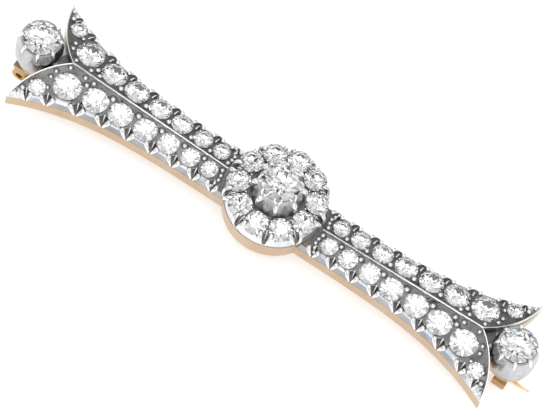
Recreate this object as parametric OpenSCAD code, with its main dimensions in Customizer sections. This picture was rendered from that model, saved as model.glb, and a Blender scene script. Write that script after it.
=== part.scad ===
// A bar brooch: two flared wings on either side of a round cluster, each wing ending
// in two leaf points with a collet stone between them. The stones sit in silver, the
// silver sits on a gold back, and a hinged pin on the back closes into a hook.
// The face looks up along +Z, the bar runs along X, and the origin is the middle of
// the gold back's rear face, which lies against the cloth.

/* [Bar] */
// Half length of the bar, from its middle to the leaf points
tip_x = 27.5; // [26.5:0.25:29]
// Half width across the leaf points
tip_y = 6.04; // [5.5:0.05:6.5]
// Half width beside the cluster
waist_y = 2.76; // [2.7:0.02:2.9]
// How late the sides flare out towards the points
flare = 3.5; // [3:0.1:4]
// Distance from the middle to the notch between a wing's two leaves
notch_x = 23.87; // [23.5:0.05:24.5]
// How far a leaf's inner edge bulges over its chord
leaf_bulge = 0.75; // [0.4:0.05:1]

/* [Heights] */
// Depth of the gold under the wings
wing_gold = 1.6; // [1.4:0.05:1.7]
// Height of the silver along a wing's outer edge
edge_z = 2.0; // [1.9:0.02:2.1]
// How far the silver's side wall leans in between the gold and that edge
edge_lean = 0.35; // [0.25:0.01:0.4]
// Height of the ridge beside the cluster
ridge_low = 2.36; // [2.2:0.05:2.6]
// Height of the ridge at the notch
ridge_high = 3.46; // [3.2:0.05:3.7]

/* [Cluster] */
// Radius of the gold drum under the cluster, where it meets the silver
drum_r = 5.12; // [5:0.02:5.4]
// How much narrower the drum is at its rear face
drum_taper = 0.12; // [0:0.02:0.2]
// Depth of the gold drum
drum_gold = 2.26; // [2:0.05:2.5]
// Height of the silver top that holds the ring of stones
halo_z = 3.95; // [3.8:0.05:4.2]
// Radius of the circle through the middles of the ring of stones
halo_r = 3.98; // [3.9:0.02:4.05]
// Diameter of a stone in the ring
halo_stone = 2.25; // [2:0.05:2.35]
// Outward tilt of the stones in the ring
halo_tilt = 8; // [0:1:12]
// Radius of the raised collet's foot
collet_foot_r = 2.65; // [2.4:0.05:2.7]
// Radius of the raised collet's rim
collet_rim_r = 2.05; // [2:0.05:2.2]
// Height of the raised collet's rim
collet_rim_z = 6.45; // [6:0.05:6.8]
// Diameter of the middle stone
middle_stone = 3.75; // [3.4:0.05:3.9]

/* [End collets] */
// Distance from the middle of the bar to an end stone
end_x = 27.62; // [27.4:0.02:27.8]
// Radius of an end collet at its widest
end_r = 2.36; // [2.2:0.02:2.36]
// Height of an end collet's rim
end_rim_z = 4.35; // [4:0.05:4.6]
// Diameter of an end stone
end_stone = 3.5; // [3.2:0.05:3.7]

/* [Pin] */
// Distance from the middle of the bar to the hinge's axis
hinge_x = 28.3; // [28.1:0.05:28.4]
// Depth of the hinge's axis below the back
hinge_drop = 1.6; // [1.5:0.05:1.7]
// Length of the hinge tube, across the bar
hinge_len = 4.2; // [4:0.1:4.6]
// Outer radius of the hinge tube
knuckle_r = 0.8; // [0.8:0.05:0.9]
// Radius of the pin's stem
stem_r = 0.38; // [0.35:0.01:0.4]
// Angle between the pin and the bar, so that the pin meets its hook off the middle line
pin_toe = 0.88; // [0.8:0.02:0.95]
// Distance from the middle of the bar to the pin's point
point_x = 30.8; // [30.4:0.1:31.2]

/* [Hook] */
// Distance from the middle of the bar to the hook
hook_x = 27.8; // [27.8:0.05:28.2]
// Width of the hook, along the bar
hook_w = 1.4; // [1.2:0.1:1.6]
// Distance from the middle line to the centre of the hook's curl
hook_y = 1.25; // [1.25:0.01:1.3]
// Outer radius of the curl
hook_r = 0.95; // [0.9:0.05:0.95]
// Thickness of the hook's strip
hook_t = 0.4; // [0.35:0.05:0.45]

/* [Hidden] */

$fn = 48;
eps = 0.01;
// Gap left between pieces that sit on each other
seam = 0.02;
// Gap around a stone in its seat
seat_gap = 0.03;
// Clearance of the rivet in the hinge tube, and of the pin's own knuckle on the rivet
rivet_gap = 0.02;
pin_gap = 0.05;
// Room on each side of the pin's knuckle
knuckle_gap = 0.12;

silver = [0.78, 0.79, 0.8];
gold = [0.86, 0.66, 0.46];
diamond = [0.93, 0.95, 0.97];

// Where the wings start, under the cluster, where their sides begin to flare and where
// their ridge comes out of the cluster
wing_start = 4;
flare_start = 5;
ridge_start = 5.5;

// Stones of one row, from the cluster to the leaf point: columns are the distance from
// the middle of the bar, the distance from the ridge and the stone's diameter
row_stones = [
    [6.99, 1.14, 1.65],
    [9.19, 1.19, 1.85],
    [11.70, 1.26, 2.05],
    [14.32, 1.35, 2.25],
    [17.18, 1.45, 2.40],
    [19.97, 1.64, 2.53],
    [23.03, 2.03, 2.75],
    [25.45, 3.80, 1.60]
];
halo_count = 10;

// An old-cut stone's parts, as shares of its diameter
table_share = 0.5;
crown_share = 0.17;
girdle_share = 0.03;
pavilion_share = 0.42;
culet_share = 0.06;
// The hole behind a stone, as a share of the stone's diameter
window_share = 0.6;
// How far a stone's girdle stands above the silver round it
girdle_lift = 0.05;
halo_lift = 0.12;

// Depth and radius of the gold foot under an end collet
foot_z = 0.3;
foot_plate_r = 2.1;
// Width of the arm that carries an end collet, and the heights of its gold and its silver
arm_w = 1.8;
arm_gold = 1.2;
arm_top = 2.4;

// Radius of the hinge's rivet and how far it stops inside the tube's ends
rivet_r = 0.35;
rivet_inset = 0.35;
// Half the gap in the hinge tube that the pin's own knuckle turns in
gap_half = 0.82;
// Thickness of the plate under the hinge
plate_t = 0.35;

// Half width of a wing at a distance from the middle
function half_width(x) =
    waist_y + (tip_y - waist_y) * pow(max(0, (x - flare_start) / (tip_x - flare_start)), flare);

// Lean of the side wall, which is less towards a leaf's point
tip_lean_share = 0.4;
function lean(x) =
    edge_lean * (1 - (1 - tip_lean_share) * max(0, (x - notch_x) / (tip_x - notch_x)));

// Height of the ridge, and of the roof on either side of it
function ridge_z(x) =
    ridge_low + (ridge_high - ridge_low) * (x - ridge_start) / (notch_x - ridge_start);
function roof_slope(x) = (ridge_z(x) - edge_z) / (half_width(x) - lean(x));
function roof_z(x, y) = ridge_z(x) - roof_slope(x) * abs(y);

// The arc along a leaf's inner edge, from the notch to the upper point
leaf_chord = [tip_x - notch_x, tip_y];
leaf_half = norm(leaf_chord) / 2;
leaf_arc_r = (leaf_half * leaf_half + leaf_bulge * leaf_bulge) / (2 * leaf_bulge);
leaf_side = [leaf_chord.y, -leaf_chord.x] / norm(leaf_chord);
leaf_centre = [notch_x, 0] + leaf_chord / 2 - leaf_side * (leaf_arc_r - leaf_bulge);
leaf_from = atan2(-leaf_centre.y, notch_x - leaf_centre.x);
leaf_to = atan2(tip_y - leaf_centre.y, tip_x - leaf_centre.x);
leaf_steps = 10;
leaf_edge = [
    for (i = [0:leaf_steps])
        let (a = leaf_from + (leaf_to - leaf_from) * i / leaf_steps)
        leaf_centre + leaf_arc_r * [cos(a), sin(a)]
];

// Outline of the right wing, seen from the face
side_steps = 20;
function side_x(i) = wing_start + (tip_x - wing_start) * i / side_steps;
side_edge = [for (i = [0:side_steps - 1]) [side_x(i), half_width(side_x(i))]];
function flip(points) = [for (i = [len(points) - 1:-1:0]) [points[i].x, -points[i].y]];
upper_half = concat(side_edge, [for (i = [leaf_steps:-1:0]) leaf_edge[i]]);
wing_outline = concat(upper_half, [for (p = flip(upper_half)) if (p.y < 0) p]);

// The stone row again with the height of each girdle and the tilt that follows the roof
function girdle_z(x, y) = roof_z(x, y) + girdle_lift;
function roof_tilt(x) = atan(roof_slope(x));

module on_wing(stone, side) {
    x = stone.x;
    y = stone.y;
    translate([x, side * y, girdle_z(x, y)])
        rotate([-side * roof_tilt(x), 0, 0])
            children();
}

module on_halo(i) {
    rotate([0, 0, 90 + i * 360 / halo_count])
        translate([halo_r, 0, halo_z + halo_lift])
            rotate([0, halo_tilt, 0])
                children();
}

// A round old-cut stone with its girdle on the plane z = 0
module stone(d) {
    r = d / 2;
    belt = girdle_share * d;
    color(diamond) rotate_extrude()
        polygon([
            [0, -pavilion_share * d],
            [culet_share * r, -pavilion_share * d],
            [r, -belt / 2],
            [r, belt / 2],
            [table_share * r, crown_share * d],
            [0, crown_share * d]
        ]);
}

// The room that a stone takes out of its setting: its own shape with a gap, and open above
module seat(d, top = 1) {
    r = d / 2 + seat_gap;
    rotate_extrude()
        polygon([
            [0, -pavilion_share * d - 2 * seat_gap],
            [culet_share * r, -pavilion_share * d - 2 * seat_gap],
            [r, -girdle_share * d],
            [r, top],
            [0, top]
        ]);
}

// The solid under a wing's roof, which passes the wing's outline only below its own edge
module roof() {
    over = 0.6;
    points = [
        for (i = [-1:side_steps + 1])
            let (
                x = side_x(i),
                foot = half_width(x) + over,
                low = wing_gold - over * (edge_z - wing_gold) / lean(x),
                eave = half_width(x) - lean(x)
            )
            each [[x, -foot, low], [x, -eave, edge_z], [x, 0, ridge_z(x)], [x, eave, edge_z], [x, foot, low]]
    ];
    last = 5 * (side_steps + 2);
    sides = [
        for (i = [0:5:last - 1], k = [0:4])
            let (a = i + k, b = i + (k + 1) % 5)
            each [[a, b, b + 5], [a, b + 5, a + 5]]
    ];
    polyhedron(
        points = points,
        faces = concat([[4, 3, 2, 1, 0]], sides, [[last, last + 1, last + 2, last + 3, last + 4]]),
        convexity = 4
    );
}

module silver_wing() {
    color(silver) difference() {
        intersection() {
            translate([0, 0, wing_gold + seam])
                linear_extrude(4) polygon(wing_outline);
            roof();
        }
        translate([0, 0, -1]) cylinder(r = drum_r + seam, h = 8);
        for (s = row_stones, side = [-1, 1]) {
            on_wing(s, side) seat(s.z);
            translate([s.x, side * s.y, 0])
                cylinder(d = window_share * s.z, h = girdle_z(s.x, s.y));
        }
    }
}

module silver_wing_right() {
    silver_wing();
}

module silver_wing_left() {
    mirror([1, 0, 0]) silver_wing();
}

// One row of stones: end is 1 on the right wing, side is 1 above the ridge
module wing_stones(end, side) {
    mirror([end < 0 ? 1 : 0, 0, 0])
        for (s = row_stones) on_wing(s, side) stone(s.z);
}

// The holes behind the ring of stones
module halo_windows(h) {
    for (i = [0:halo_count - 1])
        rotate([0, 0, 90 + i * 360 / halo_count])
            translate([halo_r, 0, -eps])
                cylinder(d = window_share * halo_stone, h = h);
}

// The silver top of the cluster, with ten seats in a ring round a plain middle
module cluster_setting() {
    shoulder = 0.45;
    color(silver) difference() {
        union() {
            translate([0, 0, drum_gold + seam])
                cylinder(r = drum_r - 0.06, h = halo_z - shoulder - drum_gold - seam);
            translate([0, 0, halo_z - shoulder - eps])
                cylinder(r1 = drum_r - 0.06, r2 = drum_r - 0.3, h = shoulder + eps);
        }
        for (i = [0:halo_count - 1]) on_halo(i) seat(halo_stone);
        halo_windows(halo_z);
    }
}

module halo_stones() {
    for (i = [0:halo_count - 1]) on_halo(i) stone(halo_stone);
}

// The raised collet: a truncated cone with a seat for the middle stone
module middle_collet() {
    foot = halo_z + seam;
    color(silver) difference() {
        translate([0, 0, foot])
            cylinder(r1 = collet_foot_r, r2 = collet_rim_r, h = collet_rim_z - foot);
        translate([0, 0, collet_rim_z]) seat(middle_stone);
    }
}

module middle_stone_piece() {
    translate([0, 0, collet_rim_z + girdle_lift]) stone(middle_stone);
}

// A rounded cup for an end stone, with the arm that joins it to the notch of its wing
module end_collet() {
    foot = foot_z + seam;
    foot_r = 2.12;
    rim_r = end_stone / 2 + 0.28;
    color(silver) difference() {
        union() {
            translate([end_x, 0, 0]) rotate_extrude()
                polygon([
                    [0, foot],
                    [foot_r, foot],
                    [end_r * 0.97, foot + 0.6],
                    [end_r, foot + 1.3],
                    [end_r, end_rim_z - 1.2],
                    [rim_r, end_rim_z],
                    [0, end_rim_z]
                ]);
            difference() {
                translate([notch_x + 0.4, -arm_w / 2, arm_gold + seam])
                    cube([end_x - notch_x - 1.5, arm_w, arm_top - arm_gold - seam]);
                translate([3 * seam, 0, 0]) linear_extrude(arm_top + 1) polygon(wing_outline);
            }
        }
        translate([end_x, 0, end_rim_z]) seat(end_stone);
    }
}

module end_collet_right() {
    end_collet();
}

module end_collet_left() {
    mirror([1, 0, 0]) end_collet();
}

module end_stone_piece(end) {
    translate([end * end_x, 0, end_rim_z + girdle_lift]) stone(end_stone);
}

// The gold of one wing, with a window behind each stone and the foot of the end collet
module wing_gold_plate() {
    difference() {
        linear_extrude(wing_gold) polygon(wing_outline);
        for (s = row_stones, side = [-1, 1])
            translate([s.x, side * s.y, -eps])
                cylinder(d = window_share * s.z, h = wing_gold + 1);
    }
    translate([end_x, 0, 0]) cylinder(r = foot_plate_r, h = foot_z);
    difference() {
        translate([notch_x - 1, -arm_w / 2, 0]) cube([end_x - notch_x, arm_w, arm_gold]);
        translate([end_x, 0, foot_z]) cylinder(r = end_r + seam, h = arm_gold);
    }
}

module drum() {
    difference() {
        cylinder(r1 = drum_r - drum_taper, r2 = drum_r, h = drum_gold);
        halo_windows(drum_gold + 1);
    }
}

// The two outer knuckles of the hinge, on a plate soldered under the left end
module hinge() {
    knuckle = hinge_len / 2 - gap_half;
    neck = 1.2;
    translate([-hinge_x - knuckle_r, -hinge_len / 2, -plate_t])
        cube([2 * knuckle_r, hinge_len, plate_t + eps]);
    for (side = [-1, 1])
        translate([-hinge_x, side * (gap_half + knuckle / 2), 0]) difference() {
            union() {
                translate([0, 0, -hinge_drop]) rotate([90, 0, 0])
                    cylinder(r = knuckle_r, h = knuckle, center = true);
                translate([-neck / 2, -knuckle / 2, -hinge_drop])
                    cube([neck, knuckle, hinge_drop]);
            }
            translate([0, 0, -hinge_drop]) rotate([90, 0, 0])
                cylinder(r = rivet_r + rivet_gap, h = knuckle + 1, center = true);
        }
}

// The hook: a strip curled round the pin's side, on a plate soldered under the right end
module hook() {
    curl_z = hinge_drop + knuckle_r - hook_r;
    strip_z = hook_r - hook_t;
    plate_w = hook_y + 1;
    plate_h = curl_z - hook_r;
    translate([hook_x - hook_w / 2, -hook_y, -curl_z]) {
        difference() {
            rotate([0, 90, 0]) cylinder(r = hook_r, h = hook_w);
            translate([-eps, 0, 0]) rotate([0, 90, 0]) cylinder(r = strip_z, h = hook_w + 2 * eps);
            translate([-eps, 0, -2 * hook_r]) cube([hook_w + 2 * eps, 2 * hook_r, 4 * hook_r]);
        }
        translate([0, -eps, strip_z]) cube([hook_w, plate_w, hook_t]);
        translate([0, -hook_t, hook_r - eps]) cube([hook_w, plate_w + hook_t, plate_h + 2 * eps]);
    }
}

// Everything gold that is soldered together: both wings, the drum, the hinge and the hook
module gold_back() {
    color(gold) union() {
        difference() {
            union() {
                wing_gold_plate();
                mirror([1, 0, 0]) wing_gold_plate();
            }
            translate([0, 0, -1]) cylinder(r = drum_r - 0.5, h = 6);
        }
        drum();
        hinge();
        hook();
    }
}

module hinge_rivet() {
    color(gold) translate([-hinge_x, 0, -hinge_drop]) rotate([90, 0, 0])
        cylinder(r = rivet_r, h = hinge_len - 2 * rivet_inset, center = true);
}

// The pin: a knuckle on the rivet, a straight stem and a tapered point
module pin() {
    own_r = knuckle_r - 0.01;
    point_r = 0.08;
    taper_x = 26;
    straight = (taper_x + hinge_x) / cos(pin_toe);
    taper = (point_x - taper_x) / cos(pin_toe);
    color(gold) translate([-hinge_x, 0, -hinge_drop]) difference() {
        union() {
            rotate([90, 0, 0]) cylinder(r = own_r, h = 2 * (gap_half - knuckle_gap), center = true);
            rotate([0, 0, -pin_toe]) rotate([0, 90, 0]) {
                cylinder(r = stem_r, h = straight);
                translate([0, 0, straight - eps]) cylinder(r1 = stem_r, r2 = point_r, h = taper + eps);
            }
        }
        rotate([90, 0, 0]) cylinder(r = rivet_r + pin_gap, h = 4, center = true);
    }
}

gold_back();
silver_wing_left();
silver_wing_right();
cluster_setting();
middle_collet();
end_collet_left();
end_collet_right();
wing_stones(-1, 1);  // wing_stones_left_upper
wing_stones(-1, -1);  // wing_stones_left_lower
wing_stones(1, 1);  // wing_stones_right_upper
wing_stones(1, -1);  // wing_stones_right_lower
halo_stones();
middle_stone_piece();  // middle_stone
end_stone_piece(-1);  // end_stone_left
end_stone_piece(1);  // end_stone_right
hinge_rivet();
pin();
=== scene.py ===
# %% [markdown]
# A silver-topped gold bar brooch. The stones sit in silver, because silver flatters white
# stones, and the silver sits on gold, because gold keeps clothes clean and pins strong.
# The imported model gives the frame: where every piece is and what it turns with. Each cell
# below takes one part of the real thing and finishes it the way a jeweller would.

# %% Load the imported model
from contextlib import contextmanager
from math import atan, atan2, cos, degrees, pi, radians, sin

import bmesh
import bpy
from mathutils import Matrix, Vector


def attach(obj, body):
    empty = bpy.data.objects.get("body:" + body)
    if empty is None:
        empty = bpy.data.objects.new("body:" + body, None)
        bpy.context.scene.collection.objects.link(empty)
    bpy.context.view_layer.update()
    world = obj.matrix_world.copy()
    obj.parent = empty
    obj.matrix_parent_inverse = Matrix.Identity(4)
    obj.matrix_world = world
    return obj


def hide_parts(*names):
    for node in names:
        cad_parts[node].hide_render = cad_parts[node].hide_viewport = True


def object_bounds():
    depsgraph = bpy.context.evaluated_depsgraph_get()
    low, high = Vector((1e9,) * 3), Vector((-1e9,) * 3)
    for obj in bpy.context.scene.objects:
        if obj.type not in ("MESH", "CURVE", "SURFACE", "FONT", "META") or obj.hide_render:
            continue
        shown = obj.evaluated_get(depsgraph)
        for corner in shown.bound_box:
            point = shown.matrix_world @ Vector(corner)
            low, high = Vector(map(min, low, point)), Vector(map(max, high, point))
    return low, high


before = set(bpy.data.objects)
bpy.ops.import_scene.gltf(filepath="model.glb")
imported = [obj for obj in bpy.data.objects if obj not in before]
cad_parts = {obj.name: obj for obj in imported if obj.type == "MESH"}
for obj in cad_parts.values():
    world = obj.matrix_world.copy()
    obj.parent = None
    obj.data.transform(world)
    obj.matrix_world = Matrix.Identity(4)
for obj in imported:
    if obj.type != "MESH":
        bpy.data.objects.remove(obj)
cad_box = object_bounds()
print("CAD nodes:", sorted(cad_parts))

# %% [markdown]
# Blender works in metres and a brooch is measured in millimetres, so every size below is
# written in millimetres and multiplied once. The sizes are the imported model's own.

# %% Sizes of the bar
mm = 0.001
tip_x = 27.5 * mm
tip_y = 6.04 * mm
waist_y = 2.76 * mm
flare = 3.5
flare_start = 5 * mm
notch_x = 23.87 * mm
leaf_bulge = 0.75 * mm
wing_gold = 1.6 * mm
edge_z = 2.0 * mm
edge_lean = 0.35 * mm
tip_lean_share = 0.4
ridge_low = 2.36 * mm
ridge_high = 3.46 * mm
ridge_start = 5.5 * mm
print(f"bar {2 * tip_x / mm:.1f} mm between the leaf points")

# Stones of one row: distance from the middle of the bar, distance from the ridge, diameter
row_stones = [
    (6.99, 1.14, 1.65),
    (9.19, 1.19, 1.85),
    (11.70, 1.26, 2.05),
    (14.32, 1.35, 2.25),
    (17.18, 1.45, 2.40),
    (19.97, 1.64, 2.53),
    (23.03, 2.03, 2.75),
    (25.45, 3.80, 1.60),
]
girdle_lift = 0.05 * mm

# %% Sizes of the cluster and the ends
drum_r = 5.12 * mm
drum_gold = 2.26 * mm
halo_z = 3.95 * mm
halo_r = 3.98 * mm
halo_stone = 2.25 * mm
halo_tilt = radians(8)
halo_lift = 0.12 * mm
halo_count = 10
collet_foot_r = 2.65 * mm
collet_rim_r = 2.05 * mm
collet_rim_z = 6.45 * mm
middle_stone = 3.75 * mm
end_x = 27.62 * mm
end_r = 2.36 * mm
end_rim_z = 4.35 * mm
end_stone = 3.5 * mm
seam = 0.02 * mm
print(f"cluster {2 * drum_r / mm:.2f} mm across, middle stone {middle_stone / mm:.2f} mm")


# %% The wing's roof as functions
def half_width(x):
    return waist_y + (tip_y - waist_y) * max(0, (x - flare_start) / (tip_x - flare_start)) ** flare


def lean(x):
    return edge_lean * (1 - (1 - tip_lean_share) * max(0, (x - notch_x) / (tip_x - notch_x)))


def ridge_z(x):
    return ridge_low + (ridge_high - ridge_low) * (x - ridge_start) / (notch_x - ridge_start)


def roof_slope(x):
    return (ridge_z(x) - edge_z) / (half_width(x) - lean(x))


def roof_z(x, y):
    return ridge_z(x) - roof_slope(x) * abs(y)


print(f"ridge rises from {ridge_low / mm:.2f} to {ridge_high / mm:.2f} mm")

# %% [markdown]
# A few helpers stand in for the hands: let go of everything, go into edit mode on one
# piece, and pick faces, edges or points by where they are.


# %% Hands
def deselect_all():
    if bpy.context.mode != "OBJECT":
        bpy.ops.object.mode_set(mode="OBJECT")
    bpy.ops.object.select_all(action="DESELECT")


def take(piece):
    deselect_all()
    piece.select_set(True)
    bpy.context.view_layer.objects.active = piece


@contextmanager
def editing(piece, kind="FACE"):
    take(piece)
    bpy.ops.object.mode_set(mode="EDIT")
    bpy.ops.mesh.select_mode(type=kind)
    bpy.ops.mesh.select_all(action="DESELECT")
    yield
    bpy.ops.object.mode_set(mode="OBJECT")


def pick(piece, kind, test):
    """Select the faces, edges or verts of a piece in edit mode that pass a test."""
    shape = bmesh.from_edit_mesh(piece.data)
    for part in (shape.verts, shape.edges, shape.faces):
        for item in part:
            item.select_set(False)
    chosen = [item for item in getattr(shape, kind) if test(item)]
    for item in chosen:
        item.select_set(True)
    shape.select_flush_mode()
    bmesh.update_edit_mesh(piece.data)
    return len(chosen)


def pick_all():
    bpy.ops.mesh.select_all(action="SELECT")


def put(name, data):
    """A new object in the scene."""
    thing = bpy.data.objects.new(name, data)
    bpy.context.scene.collection.objects.link(thing)
    return thing


def new_piece(name):
    piece = bpy.context.object
    piece.name = name
    piece.data.name = name
    return piece


def apply_place(piece):
    """Move the place, turn and size of an object into its mesh."""
    take(piece)
    bpy.ops.object.transform_apply(location=True, rotation=True, scale=True)


# %% Copies and joins
def copy_at(pattern, place, name="copy"):
    """A copy of a finished piece with its own mesh, placed by a matrix in the mesh."""
    mesh = pattern.data.copy()
    mesh.transform(place)
    if place.determinant() < 0:
        mesh.flip_normals()
    return put(name, mesh)


def join(pieces, name):
    deselect_all()
    for piece in pieces:
        piece.select_set(True)
    bpy.context.view_layer.objects.active = pieces[0]
    if len(pieces) > 1:
        bpy.ops.object.join()
    return new_piece(name)


def set_aside(pattern):
    bpy.data.objects.remove(pattern)


def refinish(mesh, finish):
    """Give a mesh one material and no other."""
    mesh.materials.clear()
    mesh.materials.append(finish)


def paint(piece, finish, test):
    """Give a second material to the faces of a piece that pass a test."""
    piece.data.materials.append(finish)
    with editing(piece):
        pick(piece, "faces", test)
        piece.active_material_index = 1
        bpy.ops.object.material_slot_assign()


both_ends = (("left", -1), ("right", 1))


def quadrants():
    """The four quarters of the brooch: the name of each, and the signs of its x and y."""
    for end, sign_x in both_ends:
        for side, sign_y in (("upper", 1), ("lower", -1)):
            yield end, side, sign_x, sign_y


def mirror(sign_x, sign_y=1):
    return Matrix.Diagonal((sign_x, sign_y, 1, 1))


# %% [markdown]
# Old silver isn't one colour. Where cloth and fingers rub, it is bright; in the hollows
# sulphur has turned it grey to black. Two groups make what all the metals share: uneven
# tarnish, and the fine scratches of a hundred years of wear.


# %% Node helpers
def add(tree, kind, **values):
    """A new node; each value sets a property of it, or else the input with that name."""
    node = tree.nodes.new(kind)
    for name, value in values.items():
        if hasattr(node, name):
            setattr(node, name, value)
        else:
            node.inputs[name.replace("_", " ")].default_value = value
    return node


def maths(tree, operation, second=None, third=None):
    """A sum in nodes. Its first value, and each one that isn't given, is linked."""
    node = add(tree, "ShaderNodeMath", operation=operation)
    for i, value in ((1, second), (2, third)):
        if value is not None:
            node.inputs[i].default_value = value
    return node


def smooth_range(tree, start, end):
    """None up to one value and full from another, with a soft change between."""
    return add(tree, "ShaderNodeMapRange", interpolation_type="SMOOTHSTEP", From_Min=start, From_Max=end)


def start_group(name, inputs, outputs):
    """A group with its sockets, and its first nodes: the inputs, the outputs, the place."""
    group = bpy.data.node_groups.new(name, "ShaderNodeTree")
    for title, value in inputs.items():
        kind = "NodeSocketColor" if isinstance(value, tuple) else "NodeSocketFloat"
        made = group.interface.new_socket(name=title, in_out="INPUT", socket_type=kind)
        made.default_value = value
    for title in outputs:
        kind = "NodeSocketColor" if title == "Color" else "NodeSocketFloat"
        group.interface.new_socket(name=title, in_out="OUTPUT", socket_type=kind)
    first_nodes = ("NodeGroupInput", "NodeGroupOutput", "ShaderNodeTexCoord")
    source, result, coords = (add(group, kind) for kind in first_nodes)
    return group, source, result, coords.outputs["Object"]


# %% Tarnish group
def make_tarnish():
    """Patches of tarnish: a clean and a tarnished colour mixed by soft and fine noise."""
    inputs = {"Clean": (0.9, 0.9, 0.9, 1), "Tarnished": (0.3, 0.3, 0.3, 1), "Amount": 0.5}
    inputs["Patch Size"] = 900
    group, source, result, place = start_group("tarnish", inputs, ["Color"])
    patches = add(group, "ShaderNodeTexNoise", Detail=5.0, Roughness=0.6)
    fine = add(group, "ShaderNodeTexNoise", Detail=2.0, Scale=9000.0)
    blend = maths(group, "MULTIPLY_ADD", 0.35)
    shift = maths(group, "ADD")
    spread = add(group, "ShaderNodeMapRange", From_Min=0.95, From_Max=1.45)
    colour = add(group, "ShaderNodeMix", data_type="RGBA")
    link = group.links.new
    link(place, patches.inputs["Vector"])
    link(place, fine.inputs["Vector"])
    link(source.outputs["Patch Size"], patches.inputs["Scale"])
    link(fine.outputs["Fac"], blend.inputs[0])
    link(patches.outputs["Fac"], blend.inputs[2])
    link(blend.outputs[0], shift.inputs[0])
    link(source.outputs["Amount"], shift.inputs[1])
    link(shift.outputs[0], spread.inputs["Value"])
    link(spread.outputs[0], colour.inputs["Factor"])
    link(source.outputs["Clean"], colour.inputs["A"])
    link(source.outputs["Tarnished"], colour.inputs["B"])
    link(colour.outputs["Result"], result.inputs["Color"])
    return group


tarnish_group = make_tarnish()
print(tarnish_group.name, "has", len(tarnish_group.nodes), "nodes")


# %% Wear group
def make_wear():
    """Fine scratches and dents: a height for bump and a roughness that varies with them."""
    inputs = {"Roughness": 0.25, "Roughness Spread": 0.15, "Scratch Size": 2500}
    group, source, result, place = start_group("wear", inputs, ["Height", "Roughness"])
    stretch = add(group, "ShaderNodeMapping", Scale=(0.25, 1.0, 1.4), Rotation=(0.3, 0.2, 0.5))
    scratches = add(group, "ShaderNodeTexNoise", Detail=6.0, Roughness=0.7, Distortion=0.6)
    dents = add(group, "ShaderNodeTexNoise", Detail=3.0, Scale=1400.0)
    height = maths(group, "MULTIPLY_ADD", 0.5)
    centred = maths(group, "SUBTRACT", 0.5)
    rough = maths(group, "MULTIPLY_ADD")
    rough.use_clamp = True
    link = group.links.new
    link(place, stretch.inputs["Vector"])
    link(stretch.outputs["Vector"], scratches.inputs["Vector"])
    link(source.outputs["Scratch Size"], scratches.inputs["Scale"])
    link(place, dents.inputs["Vector"])
    link(scratches.outputs["Fac"], height.inputs[0])
    link(dents.outputs["Fac"], height.inputs[2])
    link(scratches.outputs["Fac"], centred.inputs[0])
    link(centred.outputs[0], rough.inputs[0])
    link(source.outputs["Roughness Spread"], rough.inputs[1])
    link(source.outputs["Roughness"], rough.inputs[2])
    link(height.outputs[0], result.inputs["Height"])
    link(rough.outputs[0], result.inputs["Roughness"])
    return group


wear_group = make_wear()
print(wear_group.name, "has", len(wear_group.nodes), "nodes")


# %% Metal recipe
def make_metal(name, clean, tarnished, amount, patch, roughness, spread=0.2, bump=0.15, depth=0.004):
    """A metal: tarnish gives its colour, wear gives its roughness and its bump."""
    finish = bpy.data.materials.new(name)
    finish.use_nodes = True
    tree = finish.node_tree
    shader = tree.nodes["Principled BSDF"]
    shader.inputs["Metallic"].default_value = 1.0
    look = {"Clean": (*clean, 1), "Tarnished": (*tarnished, 1), "Amount": amount, "Patch_Size": patch}
    tarnish = add(tree, "ShaderNodeGroup", node_tree=tarnish_group, **look)
    wear = add(tree, "ShaderNodeGroup", node_tree=wear_group, Roughness=roughness, Roughness_Spread=spread)
    relief = add(tree, "ShaderNodeBump", Strength=bump, Distance=depth * mm)
    tree.links.new(tarnish.outputs["Color"], shader.inputs["Base Color"])
    tree.links.new(wear.outputs["Roughness"], shader.inputs["Roughness"])
    tree.links.new(wear.outputs["Height"], relief.inputs["Height"])
    tree.links.new(relief.outputs["Normal"], shader.inputs["Normal"])
    return finish


# A name, the clean and the tarnished colour, how tarnished, the patches' scale, the roughness
bright_silver = make_metal("bright_silver", (0.97, 0.97, 0.96), (0.78, 0.78, 0.77), 0.4, 1200, 0.24)
grey_silver = make_metal(
    "grey_silver", (0.24, 0.24, 0.235), (0.1, 0.1, 0.098), 0.5, 900, 0.36, bump=0.5, depth=0.02
)
cluster_silver = make_metal(
    "cluster_silver", (0.24, 0.24, 0.235), (0.1, 0.1, 0.098), 0.5, 900, 0.3, bump=0.4
)
wall_silver = make_metal(
    "wall_silver", (0.76, 0.77, 0.79), (0.46, 0.47, 0.5), 0.5, 520, 0.3, bump=0.3, depth=0.01
)
cup_silver = make_metal(
    "cup_silver", (0.6, 0.61, 0.63), (0.36, 0.37, 0.39), 0.5, 600, 0.28, bump=0.25, depth=0.01
)
shaded_silver = make_metal("shaded_silver", (0.84, 0.84, 0.84), (0.6, 0.6, 0.6), 0.5, 1100, 0.35, bump=0.3)
collet_silver = make_metal("collet_silver", (0.8, 0.8, 0.8), (0.54, 0.54, 0.54), 0.5, 1100, 0.35, bump=0.3)
# Blackened silver that also carries painted shade: in the claw hollows, the grain dishes, the collet's foot
# and the cups' sides
blackened_and_shaded_silver = make_metal(
    "blackened_and_shaded_silver", (0.26, 0.26, 0.26), (0.1, 0.1, 0.105), 0.5, 1500, 0.45, bump=0.4, depth=0.02
)
rose_gold = make_metal(
    "rose_gold", (0.55, 0.44, 0.31), (0.52, 0.33, 0.2), 0.45, 260, 0.3, bump=0.25, depth=0.01
)
yellow_gold = make_metal(
    "yellow_gold", (0.86, 0.66, 0.38), (0.66, 0.44, 0.2), 0.4, 500, 0.22, bump=0.2, depth=0.01
)
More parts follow.
